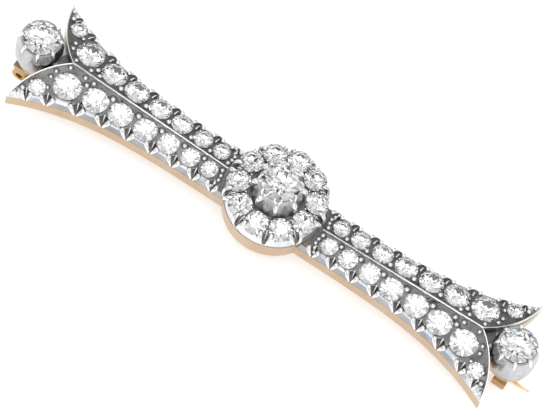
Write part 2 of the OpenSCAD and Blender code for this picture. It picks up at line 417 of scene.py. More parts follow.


# %% [markdown]
# Silver that sticks out gets rubbed and catches the light: the outer edge of each wing and the
# rim of the drum are bright, part rubbed wear and part painted highlight, while the roof between
# the stones stays dark, and a painted shade keeps it dark beside the cluster. The wall on the
# upper side gets a painted reflection. Painted masks could do this, but the edges follow formulas
# here, so three small groups work the masks out from the place of each point, and they stay
# sharp at any distance. A fourth paints shade on the gold behind the bar.


# %% Where the silver was rubbed bright
def make_margin():
    """How near a point is to the outer edge of a wing: none at the ridge, full at the edge; none beside the
    cluster, a painted shade.
    """
    group, _, result, place = start_group("wing_margin", {}, ["Margin"])
    split = add(group, "ShaderNodeSeparateXYZ")
    along = maths(group, "ABSOLUTE")
    beside = maths(group, "ABSOLUTE")
    share = add(group, "ShaderNodeMapRange", From_Min=flare_start, From_Max=tip_x)
    curve = maths(group, "POWER", flare)
    width = maths(group, "MULTIPLY_ADD", tip_y - waist_y, waist_y)
    inset = maths(group, "SUBTRACT")
    margin = smooth_range(group, 1.0 * mm, 0.55 * mm)
    # Painted shade: beside the cluster the bright margin fades out, so the roof stays dark there
    away = smooth_range(group, 5.8 * mm, 7.6 * mm)
    kept = maths(group, "MULTIPLY")
    link = group.links.new
    link(along.outputs[0], away.inputs["Value"])
    link(away.outputs[0], kept.inputs[0])
    link(margin.outputs[0], kept.inputs[1])
    link(place, split.inputs[0])
    link(split.outputs["X"], along.inputs[0])
    link(split.outputs["Y"], beside.inputs[0])
    link(along.outputs[0], share.inputs["Value"])
    link(share.outputs[0], curve.inputs[0])
    link(curve.outputs[0], width.inputs[0])
    link(width.outputs[0], inset.inputs[0])
    link(beside.outputs[0], inset.inputs[1])
    link(inset.outputs[0], margin.inputs["Value"])
    link(kept.outputs[0], result.inputs["Margin"])
    return group


def make_radius():
    """How far a point is from the middle of the cluster, from an inner to an outer radius."""
    group, _, result, place = start_group("cluster_margin", {}, ["Margin"])
    flat = add(group, "ShaderNodeVectorMath", operation="MULTIPLY")
    flat.inputs[1].default_value = (1, 1, 0)
    radius = add(group, "ShaderNodeVectorMath", operation="LENGTH")
    margin = smooth_range(group, 4.2 * mm, 4.7 * mm)
    link = group.links.new
    link(place, flat.inputs[0])
    link(flat.outputs[0], radius.inputs[0])
    link(radius.outputs["Value"], margin.inputs["Value"])
    link(margin.outputs[0], result.inputs["Margin"])
    return group


def make_side(name, axis, start, end):
    """None before one place along an axis and full beyond another."""
    group, _, result, place = start_group(name, {}, ["Margin"])
    split = add(group, "ShaderNodeSeparateXYZ")
    margin = add(group, "ShaderNodeMapRange", From_Min=start, From_Max=end)
    link = group.links.new
    link(place, split.inputs[0])
    link(split.outputs[axis], margin.inputs["Value"])
    link(margin.outputs[0], result.inputs["Margin"])
    return group


def change_by(finish, mask_group, clean, tarnished):
    """Mix a metal's two colours toward two others where a mask is full."""
    tree = finish.node_tree
    tarnish = next(n for n in tree.nodes if n.type == "GROUP" and n.node_tree == tarnish_group)
    mask = add(tree, "ShaderNodeGroup", node_tree=mask_group)
    for name, other in (("Clean", clean), ("Tarnished", tarnished)):
        blend = add(tree, "ShaderNodeMix", data_type="RGBA")
        blend.inputs["A"].default_value = tarnish.inputs[name].default_value
        blend.inputs["B"].default_value = (*other, 1)
        tree.links.new(mask.outputs["Margin"], blend.inputs["Factor"])
        tree.links.new(blend.outputs["Result"], tarnish.inputs[name])


# The wall on the upper side gets a painted reflection that whitens it, and behind the back are the hinge
# and the hook
upper = make_side("upper", "Y", -0.5 * mm, 1.5 * mm)
# Painted shade: the gold under the bar, at the hinge and the hook, is darkened
behind = make_side("behind", "Z", 0.02 * mm, -0.1 * mm)
# The outer edge of the roof: rubbed wear and a painted highlight, and a painted shade by the cluster
change_by(grey_silver, make_margin(), (0.74, 0.76, 0.79), (0.48, 0.5, 0.52))
change_by(wall_silver, upper, (0.98, 0.98, 0.98), (0.88, 0.88, 0.88))
change_by(rose_gold, behind, (0.62, 0.4, 0.18), (0.2, 0.1, 0.04))
# The rim and the wall of the drum: rubbed wear and a painted highlight, bluish white
change_by(cluster_silver, make_radius(), (0.88, 0.91, 0.96), (0.6, 0.63, 0.68))
print("metals:", [m.name for m in bpy.data.materials])

# %% [markdown]
# Diamond bends light more than any glass. Its material is simple, because the life comes from
# the facets. The polish of an old stone isn't perfect and no two have the same water, so one
# noise hazes the roughness a little and a wider one shifts the tint from stone to stone.

# %% Diamond
diamond = bpy.data.materials.new("diamond")
diamond.use_nodes = True
diamond_shader = diamond.node_tree.nodes["Principled BSDF"]
diamond_shader.inputs["Transmission Weight"].default_value = 1.0
diamond_shader.inputs["IOR"].default_value = 2.417
polish = add(diamond.node_tree, "ShaderNodeTexNoise", Scale=1600.0, Detail=3.0)
haze = add(diamond.node_tree, "ShaderNodeMapRange", From_Min=0.45, To_Max=0.03)
water = add(diamond.node_tree, "ShaderNodeTexNoise", Scale=260.0, Detail=1.0)
tint = add(diamond.node_tree, "ShaderNodeMix", data_type="RGBA", A=(0.86, 0.87, 0.89, 1), B=(1, 1, 1, 1))
stone_coords = add(diamond.node_tree, "ShaderNodeTexCoord")
for source, target in (
    (stone_coords.outputs["Object"], polish.inputs["Vector"]),
    (stone_coords.outputs["Object"], water.inputs["Vector"]),
    (polish.outputs["Fac"], haze.inputs["Value"]),
    (haze.outputs[0], diamond_shader.inputs["Roughness"]),
    (water.outputs["Fac"], tint.inputs["Factor"]),
    (tint.outputs["Result"], diamond_shader.inputs["Base Color"]),
):
    diamond.node_tree.links.new(source, target)
print("diamond has an index of refraction of", diamond_shader.inputs["IOR"].default_value)

# %% [markdown]
# An old-cut diamond gets its facets on a wheel, one flat at a time. Its points could be typed
# in one by one, but the wheel's own way is easier to check: a plain round is cut by planes
# with the bisect tool. The order is the cutter's: the mains, the halves beside the girdle,
# the stars, then the table.

# %% The cut of one stone, for a diameter of one
table_share = 0.5
crown_share = 0.17
girdle_share = 0.03
pavilion_share = 0.42
culet_share = 0.06
stone_r = 0.5
crown_angle = atan((crown_share - girdle_share / 2) / (stone_r - stone_r * table_share))
pavilion_angle = atan((pavilion_share - girdle_share / 2) / (stone_r - stone_r * culet_share))
upper_half_angle = radians(36.5)
lower_half_angle = radians(42.5)
star_angle = radians(19)


def grind(index, angle, reach, height, down=False):
    """Cut away what lies outside a facet: its compass bearing, its slope, and a point on it."""
    bearing = radians(index)
    normal = Vector((cos(bearing) * sin(angle), sin(bearing) * sin(angle), cos(angle)))
    point = Vector((cos(bearing) * reach, sin(bearing) * reach, height))
    if down:
        normal.z = -normal.z
    pick_all()
    bpy.ops.mesh.bisect(plane_co=point, plane_no=normal, use_fill=True, clear_outer=True)


# %% Cut the stone
deselect_all()
bpy.ops.mesh.primitive_cylinder_add(vertices=32, radius=stone_r, depth=2 * pavilion_share)
cut_stone = new_piece("cut_stone")
mains = 8
main_step = 360 / mains
half_step = main_step / 4
with editing(cut_stone):
    for i in range(mains):
        grind(main_step * i, crown_angle, stone_r, girdle_share / 2)
        grind(main_step * i, pavilion_angle, stone_r, -girdle_share / 2, down=True)
    for i in range(2 * mains):
        bearing = half_step + 2 * half_step * i
        reach = stone_r * cos(radians(half_step))
        grind(bearing, upper_half_angle, reach, girdle_share / 2)
        grind(bearing, lower_half_angle, reach, -girdle_share / 2, down=True)
    for i in range(mains):
        table_side = stone_r * table_share * cos(radians(main_step / 2))
        grind(main_step * (i + 0.5), star_angle, table_side, crown_share)
    grind(0, 0, 0, crown_share)
    grind(0, 0, 0, -pavilion_share, down=True)
    pick_all()
    bpy.ops.mesh.remove_doubles(threshold=0.002)
    bpy.ops.mesh.normals_make_consistent(inside=False)
cut_stone.data.materials.append(diamond)
print("facets of a stone:", len(cut_stone.data.polygons))


# %% Places of the stones
# The stones stand a little prouder and more level than their seats, and fill them
stone_tilt_share = 0.6
stone_lift = 0.1 * mm
stone_growth = 1.06
end_growth = 1.03
# Each stone is turned its own way: degrees from one to the next, the middle one, the end ones
turn_between = 17
middle_turn = 8
end_turn = 30


def row_place(stone, sign_y):
    """Where a row stone sits: on the roof, tilted with it, its girdle just clear."""
    x, y, size = (value * mm for value in stone)
    tilt = Matrix.Rotation(-sign_y * atan(roof_slope(x)) * stone_tilt_share, 4, "X")
    height = roof_z(x, y) + girdle_lift + stone_lift
    return Matrix.Translation((x, sign_y * y, height)) @ tilt, size * stone_growth


def halo_place(i):
    turn = Matrix.Rotation(radians(90 + 360 * i / halo_count), 4, "Z")
    outward = Matrix.Rotation(halo_tilt, 4, "Y")
    return turn @ Matrix.Translation((halo_r, 0, halo_z + halo_lift + stone_lift)) @ outward


def stone_at(place, size, bearing):
    """A copy of the cut stone, a little proud of its seat and turned its own way."""
    own_turn = Matrix.Rotation(radians(bearing), 4, "Z")
    return copy_at(cut_stone, place @ own_turn @ Matrix.Scale(size, 4))


# %% Set the stones
def finish_piece(piece, body, slot, *replaced):
    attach(piece, body)
    if replaced:
        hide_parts(*replaced)
    return piece


for end, side, sign_x, sign_y in quadrants():
    stones = []
    for i, stone in enumerate(row_stones):
        place, size = row_place(stone, sign_y)
        stones.append(stone_at(mirror(sign_x) @ place, size, turn_between * (i + sign_x + 3 * sign_y)))
    row = join(stones, f"diamonds_{end}_{side}")
    finish_piece(row, "brooch", "diamond", f"wing_stones_{end}_{side}")

halo_set = [stone_at(halo_place(i), halo_stone * stone_growth, turn_between * i) for i in range(halo_count)]
halo = join(halo_set, "diamonds_halo")
finish_piece(halo, "brooch", "diamond", "halo_stones")
middle_place = Matrix.Translation((0, 0, collet_rim_z + girdle_lift + stone_lift))
middle = join([stone_at(middle_place, middle_stone * stone_growth, middle_turn)], "diamond_middle")
finish_piece(middle, "brooch", "diamond", "middle_stone")
for end, sign_x in both_ends:
    end_place = Matrix.Translation((sign_x * end_x, 0, end_rim_z + girdle_lift + stone_lift))
    stone = join([stone_at(end_place, end_stone * end_growth, end_turn)], f"diamond_{end}")
    finish_piece(stone, "brooch", "diamond", f"end_stone_{end}")
set_aside(cut_stone)
print("stones set:", 4 * len(row_stones) + halo_count + 3)

# %% [markdown]
# The setter's grains are specks of the silver itself, raised with a graver and rounded
# with a beading tool. The claws on the outer walls are cut-down: two ribs that start as a
# grain over the stone and run together at the gold, with a dark hollow between them.
# A curve with a bevel could make a rib, but a small circle that is extruded and scaled
# section by section gives a closed mesh at once. Each kind is modelled once and copied.


# %% One grain
deselect_all()
bpy.ops.mesh.primitive_uv_sphere_add(segments=12, ring_count=8, radius=1)
grain = new_piece("grain")
with editing(grain, "VERT"):
    pick(grain, "verts", lambda v: v.co.z < -0.2)
    bpy.ops.transform.resize(value=(1.15, 1.15, 0.9), center_override=(0, 0, 0))
take(grain)
bpy.ops.object.shade_smooth()
grain.data.materials.append(bright_silver)
print("grain has", len(grain.data.polygons), "faces")


# %% Sections drawn out to a point
def drawn_out(name, sections, sides, finish):
    """A round drawn out section by section: place along it, half width, arch."""
    deselect_all()
    bpy.ops.mesh.primitive_circle_add(vertices=sides, radius=1, fill_type="NGON", rotation=(pi / 2, 0, 0))
    piece = new_piece(name)
    apply_place(piece)
    with editing(piece):
        pick_all()
        along, width, arch = sections[0]
        bpy.ops.transform.resize(value=(width, 1, width))
        bpy.ops.transform.translate(value=(0, along, arch))
        for along_next, width_next, arch_next in sections[1:]:
            step = (0, along_next - along, arch_next - arch)
            bpy.ops.mesh.extrude_region_move(TRANSFORM_OT_translate={"value": step})
            share = width_next / width
            bpy.ops.transform.resize(value=(share, 1, share), center_override=(0, along_next, arch_next))
            along, width, arch = along_next, width_next, arch_next
        pick_all()
        bpy.ops.mesh.normals_make_consistent(inside=False)
    take(piece)
    bpy.ops.object.shade_smooth()
    piece.data.materials.append(finish)
    print(name, "has", len(piece.data.polygons), "faces")
    return piece


# %% One rib and one scoop
rib_sections = [
    (-0.2, 0.55, 0.0),
    (-0.12, 0.88, 0.15),
    (0.0, 1.0, 0.3),
    (0.14, 0.96, 0.45),
    (0.32, 0.84, 0.55),
    (0.55, 0.68, 0.5),
    (0.8, 0.5, 0.3),
    (1.0, 0.25, 0.1),
]
scoop_sections = [(-0.3, 0.4, 0), (-0.15, 0.85, 0), (0.05, 1.0, 0), (0.5, 0.62, 0), (1.0, 0.15, 0)]
# On the drum a rib bends over the shoulder between the top and the wall
drum_rib_sections = [
    (-0.14, 0.5, -0.5),
    (-0.08, 0.85, -0.1),
    (0.0, 1.0, 0.5),
    (0.1, 1.0, 1.2),
    (0.22, 0.86, 1.75),
    (0.42, 0.62, 1.95),
    (0.66, 0.42, 1.3),
    (0.86, 0.28, 0.5),
    (1.0, 0.15, 0.0),
]
rib = drawn_out("rib", rib_sections, 10, bright_silver)
drum_rib = drawn_out("drum_rib", drum_rib_sections, 10, bright_silver)
scoop = drawn_out("scoop", scoop_sections, 10, blackened_and_shaded_silver)


# %% Lay ribs, hollows and grains
def rib_matrix(head, point, outward, width, height):
    """Stretch the one rib from a head to a point, its back turned outward."""
    along = point - head
    across = along.cross(outward).normalized()
    up = across.cross(along).normalized()
    turn = Matrix((across, along.normalized(), up)).transposed().to_4x4()
    size = Matrix.Diagonal((width, along.length, height, 1))
    return Matrix.Translation(head) @ turn @ size


def lay_grain(x, y, z, size, height=0.8):
    return Matrix.Translation((x, y, z)) @ Matrix.Diagonal((size, size, size * height, 1))


# %% Places of the wing claws
# Where a row starts and ends, as if stones: x, distance from the ridge, diameter
before_row = (4.75, 1.2, 1.7)
after_row = [(26.62, 4.95, 0.3)]
head_inset = 0.58 * mm
head_lift = 0.1 * mm
middle_inset = 1.0 * mm
middle_lift = 0.06 * mm
claw_lean = 0.15 * mm
last_claw_x = 27.0 * mm
# Where the roof slopes to the edge, a claw's parts shift along the bar
along_drop = 0.8
middle_shift = 0.4 * mm
point_shift = 0.3 * mm
point_out = 0.01 * mm
point_lift = 0.05 * mm
# Half a claw's width over its heads, in millimetres: the least, and what a stone's size adds
least_spread = 0.32
spread_share = 0.14


def edge_point(x, inset, lift=0):
    """A point on the roof, a given distance in from the outer edge."""
    y = half_width(x) - inset
    return Vector((x, y, roof_z(x, y) + lift))


def wing_claws():
    """Each claw along one quarter's edge: two heads, a middle head, a point, out, a size."""
    held = [before_row] + row_stones + after_row
    claws = []
    for first, second in zip(held, held[1:]):
        a = Vector(first[:2]) * mm
        b = Vector(second[:2]) * mm
        along = (b - a).normalized()
        gap = (b - a).length - (first[2] + second[2]) / 2 * mm
        centre = a + along * (first[2] / 2 * mm + gap / 2)
        slope = (half_width(centre.x + mm) - half_width(centre.x - mm)) / (2 * mm)
        drop = (half_width(centre.x) - centre.y) / (1 + slope**2)
        x = centre.x - slope * drop * along_drop
        size = (first[2] + second[2]) / 2
        spread = (least_spread + spread_share * size) * mm * cos(atan(slope))
        x = min(x, last_claw_x)
        heads = [edge_point(x + side * spread, head_inset, head_lift) for side in (-1, 1)]
        middle = edge_point(x + slope * middle_shift, middle_inset, middle_lift)
        point_x = x - slope * point_shift
        point = Vector((point_x, half_width(point_x) + point_out, wing_gold + point_lift))
        outward = Vector((-slope * 0.7, 0.7, 0.7)).normalized()
        claws.append((heads, middle, point, outward, size))
    return claws


print("claws on a quarter:", len(wing_claws()))

# %% [markdown]
# A wing's silver is one plate, sawn and filed to a roof, with a seat drilled for each stone.
# It could be drawn again here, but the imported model's own solid, copied, keeps its seats
# and its roof where the stones and the gold expect them. The hollows of the claws are then
# cut out of it with a boolean, as the setter's graver does.


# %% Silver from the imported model
merge_distance = 0.001 * mm


def merged_copy(node, name, finish):
    """A copy of a CAD node with its loose triangles merged, which the node's mesh isn't."""
    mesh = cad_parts[node].data.copy()
    refinish(mesh, finish)
    piece = put(name, mesh)
    with editing(piece, "VERT"):
        pick_all()
        bpy.ops.mesh.remove_doubles(threshold=merge_distance)
    return piece


def carve(piece, cutters):
    """Cut the joined cutters out of a piece; the cut faces keep the cutters' finish."""
    cutter = join(cutters, "cutter")
    boolean = piece.modifiers.new("carve", "BOOLEAN")
    boolean.object = cutter
    boolean.operation = "DIFFERENCE"
    boolean.solver = "EXACT"
    boolean.use_self = True
    boolean.material_mode = "TRANSFER"
    take(piece)
    bpy.ops.object.modifier_apply(modifier=boolean.name)
    bpy.data.objects.remove(cutter)
    return piece


# %% Where the wall is
wall_margin = 0.05 * mm


def is_wall(face):
    """The leaning outer wall of a wing, between the gold and the edge of the roof."""
    place = face.calc_center_median()
    outside = abs(place.y) > half_width(abs(place.x)) - edge_lean - wall_margin
    return outside and abs(face.normal.y) > 0.5 and wing_gold < place.z < edge_z


# %% Lay a claw
foot_gap = 0.09 * mm
middle_rib_reach = 0.62
middle_rib_width = 0.4
middle_rib_height = 0.5
scoop_width = 0.82
scoop_depth = 0.3 * mm
scoop_start = 0.2
point_dig = 0.3


def lay_claw(place, heads, middle, point, outward, size, pattern, dig):
    """Three ribs that run together in a point, and the scoop between them, black with tarnish and painted
    shade.
    """
    across = (heads[1] - heads[0]).normalized()
    ribs = []
    for head, side in zip(heads, (-1, 1)):
        foot = point + across * side * foot_gap
        ribs.append(copy_at(pattern, place @ rib_matrix(head, foot, outward, size, size)))
    middle_foot = middle.lerp(point, middle_rib_reach)
    width, height = size * middle_rib_width, size * middle_rib_height
    ribs.append(copy_at(pattern, place @ rib_matrix(middle, middle_foot, outward, width, height)))
    centre = (heads[0] + heads[1]) / 2
    reach = (heads[1] - heads[0]).length / 2
    scoop_head = centre.lerp(middle, scoop_start) + dig
    cut = rib_matrix(scoop_head, point + dig * point_dig, outward, reach * scoop_width, scoop_depth)
    return ribs, copy_at(scoop, place @ cut)


# %% Places of the grains
# Columns: distance from the middle of the bar, distance from the ridge, radius
wing_grains = [
    (5.85, 0.5, 0.22),
    (5.7, 1.0, 0.2),
    (5.65, 1.5, 0.2),
    (5.8, 1.95, 0.18),
    (6.0, 2.35, 0.16),
    (7.98, 0.52, 0.22),
    (10.25, 0.56, 0.24),
    (12.9, 0.62, 0.26),
    (15.6, 0.66, 0.27),
    (18.6, 0.7, 0.27),
    (21.0, 0.5, 0.22),
    (21.5, 1.0, 0.25),
    (22.0, 0.5, 0.22),
    (23.75, 0.5, 0.2),
    (24.75, 1.5, 0.2),
    (24.9, 2.2, 0.2),
    (24.6, 3.2, 0.2),
    (26.15, 3.6, 0.24),
    (26.6, 4.55, 0.24),
    (27.0, 5.25, 0.16),
]
# Each grain stands in a dish: how much wider than the grain, and how flat
dish_share = 1.75
dish_flatness = 0.4
dish_lift = 0.06 * mm
grain_lift = 0.04 * mm
print("grains on a quarter:", len(wing_grains))

# %% Hollows and claws of the wings
claws = wing_claws()
# A rib's half width, in millimetres: the least, and what a stone's size adds
least_rib = 0.19
rib_share = 0.038
# One rib alone ends each leaf point
lone_x = 26.6 * mm
lone_width = 0.17 * mm
lone_head = edge_point(last_claw_x, 0.42 * mm, 0.08 * mm)
lone_point = Vector((lone_x, half_width(lone_x) - 0.02 * mm, wing_gold + 0.08 * mm))
lone = rib_matrix(lone_head, lone_point, Vector((-0.5, 0.5, 0.7)), lone_width, lone_width)
for end, sign_x in both_ends:
    ribs, hollows = [], []
    for sign_y in (1, -1):
        for heads, middle, point, outward, size in claws:
            place = mirror(sign_x, sign_y)
            leant = point + Vector((sign_x * claw_lean, 0, 0))
            width = (least_rib + rib_share * size) * mm
            claw_ribs, hollow = lay_claw(place, heads, middle, leant, outward, width, rib, Vector())
            ribs += claw_ribs
            hollows.append(hollow)
        ribs.append(copy_at(rib, mirror(sign_x, sign_y) @ lone))
        for x, y, size in wing_grains:
            height = roof_z(x * mm, y * mm) + dish_lift
            dish = lay_grain(x * mm, y * mm, height, size * dish_share * mm, dish_flatness)
            cutter = copy_at(grain, mirror(sign_x, sign_y) @ dish)
            # The dish round each grain is black: tarnish and painted shade
            refinish(cutter.data, blackened_and_shaded_silver)
            hollows.append(cutter)
    wing = merged_copy(f"silver_wing_{end}", f"wing_silver_{end}", grey_silver)
    paint(wing, wall_silver, is_wall)
    carve(wing, hollows)
    finish_piece(wing, "brooch", "silver", f"silver_wing_{end}")
    row = join(ribs, f"wing_claws_{end}")
    finish_piece(row, "brooch", "silver")
    print(wing.name, "has", len(wing.data.polygons), "faces, its claws", len(row.data.polygons))

# %% [markdown]
# Grains hold the stones on the side of the ridge: one between each two stones, and small
# groups where the stones leave a wide corner. Their places are listed one by one, as a setter
# chooses them by eye, and each is a copy of the one grain, sunk a little into its dish.

# %% Grains on the wings
for end, sign_x in both_ends:
    grains = []
    for sign_y in (1, -1):
        for x, y, size in wing_grains:
            height = roof_z(x * mm, y * mm) + grain_lift
            place = mirror(sign_x, sign_y) @ lay_grain(x * mm, y * mm, height, size * mm)
            grains.append(copy_at(grain, place))
    beads = finish_piece(join(grains, f"wing_grains_{end}"), "brooch", "silver")
    print(beads.name, "has", len(beads.data.polygons), "faces")

# %% [markdown]
# A bright knife-edge runs along each ridge and parts at the notch into the rims of the two
# leaves. The ridge is a bar whose top is pinched; a leaf's rim is the same section spun
# round the centre of the leaf's arc, then let down onto the roof.

# %% Knife-edge along the ridge
rim_half = 0.14 * mm
rim_top_half = 0.07 * mm
rim_rise = 0.17 * mm
rim_root = 0.1 * mm
leaf_rim_half = 0.1 * mm
leaf_rim_rise = 0.11 * mm
rim_softness = 0.025 * mm
# How much of the leaf rim's half width stays inside the leaf's edge
inside_share = 0.8

leaf_chord = Vector((tip_x - notch_x, tip_y))
leaf_arc_r = ((leaf_chord.length / 2) ** 2 + leaf_bulge**2) / (2 * leaf_bulge)
leaf_side = Vector((leaf_chord.y, -leaf_chord.x)).normalized()
leaf_centre = Vector((notch_x, 0)) + leaf_chord / 2 - leaf_side * (leaf_arc_r - leaf_bulge)
leaf_from = atan2(-leaf_centre.y, notch_x - leaf_centre.x)
leaf_to = atan2(tip_y - leaf_centre.y, tip_x - leaf_centre.x)
print(f"leaf arc of radius {leaf_arc_r / mm:.2f} mm over {degrees(leaf_to - leaf_from):.0f} degrees")

deselect_all()
bpy.ops.mesh.primitive_cube_add(size=1)
ridge = new_piece("ridge")
ridge_length = notch_x - ridge_start
with editing(ridge):
    pick_all()
    bpy.ops.transform.resize(value=(ridge_length, 2 * rim_half, rim_rise + rim_root))
    pick(ridge, "faces", lambda f: f.normal.z > 0.9)
    bpy.ops.transform.resize(value=(1, rim_top_half / rim_half, 1))
    pick_all()
    bpy.ops.mesh.subdivide(number_cuts=1)
    middle_x = (ridge_start + notch_x) / 2
    middle_z = (ridge_low + ridge_high + rim_rise - rim_root) / 2
    bpy.ops.transform.translate(value=(middle_x, 0, middle_z))
# The bar is tipped to the ridge's slope point by point, which keeps its ends upright
slope = (ridge_high - ridge_low) / ridge_length
for vert in ridge.data.vertices:
    vert.co.z += slope * (vert.co.x - middle_x)

# %% Leaf rim
deselect_all()
bpy.ops.mesh.primitive_plane_add(size=1, rotation=(pi / 2, 0, 0))
leaf_rim = new_piece("leaf_rim")
apply_place(leaf_rim)
with editing(leaf_rim, "EDGE"):
    pick_all()
    bpy.ops.transform.resize(value=(2 * leaf_rim_half, 1, leaf_rim_rise + rim_root))
    pick(leaf_rim, "edges", lambda e: all(v.co.z > 0 for v in e.verts))
    bpy.ops.transform.resize(value=(rim_top_half / rim_half, 1, 1))
    pick_all()
    start_x = leaf_centre.x + leaf_arc_r - leaf_rim_half * inside_share
    start = (start_x, leaf_centre.y, (leaf_rim_rise - rim_root) / 2)
    bpy.ops.transform.translate(value=start)
    bpy.ops.transform.rotate(value=-leaf_from, orient_axis="Z", center_override=(*leaf_centre, 0))
    bpy.ops.mesh.spin(steps=16, angle=leaf_from - leaf_to, center=(*leaf_centre, 0), axis=(0, 0, 1))
    pick_all()
    bpy.ops.mesh.remove_doubles(threshold=merge_distance)
    bpy.ops.mesh.normals_make_consistent(inside=False)
reach = [vert.co.y / mm for vert in leaf_rim.data.vertices]
print(f"leaf rim reaches from {min(reach):.2f} to {max(reach):.2f} mm beside the ridge")
for vert in leaf_rim.data.vertices:
    vert.co.z += roof_z(vert.co.x, vert.co.y)

# %% Rims on both wings
for end, sign_x in both_ends:
    parts = [copy_at(ridge, mirror(sign_x))]
    parts += [copy_at(leaf_rim, mirror(sign_x, sign_y)) for sign_y in (1, -1)]
    rims = join(parts, f"wing_rims_{end}")
    rims.data.materials.append(bright_silver)
    bevel = rims.modifiers.new("soften", "BEVEL")
    bevel.width = rim_softness
    bevel.segments = 2
    bevel.limit_method = "ANGLE"
    take(rims)
    bpy.ops.object.modifier_apply(modifier=bevel.name)
    bpy.ops.object.shade_smooth_by_angle(angle=radians(35))
    finish_piece(rims, "brooch", "silver")
    print(rims.name, "has", len(rims.data.polygons), "faces")
set_aside(ridge)
set_aside(leaf_rim)

# %% [markdown]
# The cluster's silver is a drum with ten seats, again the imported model's own. Its claws are
# the same three ribs and one hollow, laid round the edge between each two stones, but a rib
# here has to bend over the shoulder of the drum, so it has a pattern of its own with a high
# arch. Two grains hold each pair of stones on the inside.

# %% Cluster setting
cluster = merged_copy("cluster_setting", "cluster_silver", cluster_silver)
ribs, hollows, grains = [], [], []
halo_step = 2 * pi / halo_count
drum_head_side = 0.56 * mm
drum_heads = [Vector((drum_r - 0.55 * mm, side * drum_head_side, halo_z + 0.1 * mm)) for side in (-1, 1)]
drum_middle = Vector((drum_r - 0.85 * mm, 0, halo_z + 0.1 * mm))
drum_point = Vector((drum_r - 0.02 * mm, 0, drum_gold + 0.1 * mm))
drum_outward = Vector((0.9, 0, 0.4))
drum_dig = Vector((0.28 * mm, 0, 0))
drum_rib_width = 0.24 * mm
inner_grain = 0.15 * mm
inner_grain_side = 0.16 * mm
inner_grain_r = halo_r - 0.85 * mm
for i in range(halo_count):
    turn = Matrix.Rotation(pi / 2 + halo_step * (i + 0.5), 4, "Z")
    claw_ribs, hollow = lay_claw(
        turn, drum_heads, drum_middle, drum_point, drum_outward, drum_rib_width, drum_rib, drum_dig
    )
    ribs += claw_ribs
    hollows.append(hollow)
    for side in (-1, 1):
        place = lay_grain(inner_grain_r, side * inner_grain_side, halo_z + 0.05 * mm, inner_grain)
        grains.append(copy_at(grain, turn @ place))
carve(cluster, hollows)
finish_piece(cluster, "brooch", "silver", "cluster_setting")
finish_piece(join(ribs, "cluster_claws"), "brooch", "silver")
finish_piece(join(grains, "cluster_grains"), "brooch", "silver")
print(cluster.name, "has", len(cluster.data.polygons), "faces and", halo_count, "claws")

# %% [markdown]
# The middle stone sits in a raised collet: a cone of silver whose wall was filed into
# flutes, which leaves a row of bright pads that end above in claws over the stone. A cone
# primitive is inset and pushed in for the hollow, flat dishes are cut out of its wall with a
# boolean for the flutes, and pads and claws are ribs laid against the wall.

# %% Middle collet
pad_count = 8
collet_foot_z = halo_z + seam
stone_seat_depth = 1.75 * mm
hollow_taper = 0.12
foot_band = 0.06 * mm
deselect_all()
bpy.ops.mesh.primitive_cone_add(
    vertices=8 * pad_count,
    radius1=collet_foot_r,
    radius2=collet_rim_r,
    depth=collet_rim_z - collet_foot_z,
    location=(0, 0, (collet_rim_z + collet_foot_z) / 2),
)
collet = new_piece("collet_silver")
apply_place(collet)
with editing(collet):
    pick(collet, "faces", lambda f: f.normal.z > 0.9)
    wall = collet_rim_r - middle_stone / 2 + seam
    bpy.ops.mesh.inset(thickness=wall, depth=0)
    bpy.ops.mesh.extrude_region_move(TRANSFORM_OT_translate={"value": (0, 0, -stone_seat_depth)})
    bpy.ops.transform.resize(value=(hollow_taper, hollow_taper, 1))
    pick_all()
    foot_line = (0, 0, collet_foot_z + foot_band)
    bpy.ops.mesh.bisect(plane_co=foot_line, plane_no=(0, 0, 1), use_fill=False)
collet.data.materials.append(collet_silver)
# Painted shade: a dark band at the foot, where the collet meets the drum
paint(collet, blackened_and_shaded_silver, lambda f: f.calc_center_median().z < collet_foot_z + foot_band)
print(collet.name, "stands", f"{(collet_rim_z - collet_foot_z) / mm:.2f} mm high")


# %% Pads, claws and flutes round the collet, prongs round a cup
claw_turn = radians(9)
# Shares of the way down the wall: where a pad starts and ends, a claw ends, a flute is
pad_from = 0.36
pad_to = 0.88
claw_to = 0.32
flute_middle = 0.55
flute_half = 0.42
flute_out = 0.2 * mm
flute_thickness = 0.3 * mm
# Shares of a pad's half width
pad_height = 1.2
claw_width = 0.5
claw_height = 0.6
# Where a claw's bead and a cup's prong start, from the rim, and where the prong ends
bead_shift = Vector((-0.1 * mm, 0, 0.14 * mm))
prong_shift = Vector((-0.12 * mm, 0, 0.12 * mm))
prong_to = 0.5


def flute(count, rim, foot, pad_size, dish_size):
    """Pads with small claws over them, and the cutters of the broad flutes between them."""
    down = foot - rim
    out = Vector((-down.z, 0, down.x)).normalized()
    parts, cutters = [], []
    for i in range(count):
        turn = Matrix.Rotation(2 * pi * (i + 0.5) / count, 4, "Z")
        pad_head = rim + down * pad_from
        pad = rib_matrix(pad_head, rim + down * pad_to, out, pad_size, pad_size * pad_height)
        parts.append(copy_at(rib, turn @ pad))
        for side in (-1, 1):
            bead = Matrix.Rotation(side * claw_turn, 3, "Z") @ (rim + bead_shift)
            claw_foot = rim + down * claw_to
            claw = rib_matrix(bead, claw_foot, out, pad_size * claw_width, pad_size * claw_height)
            parts.append(copy_at(rib, turn @ claw))
        turn = Matrix.Rotation(2 * pi * i / count, 4, "Z")
        middle_of_dish = rim + down * flute_middle + out * flute_out
        end_of_dish = middle_of_dish + down * flute_half
        dish = rib_matrix(middle_of_dish, end_of_dish, out, dish_size, flute_thickness)
        cutter = copy_at(grain, turn @ dish)
        refinish(cutter.data, shaded_silver)
        cutters.append(cutter)
    return parts, cutters


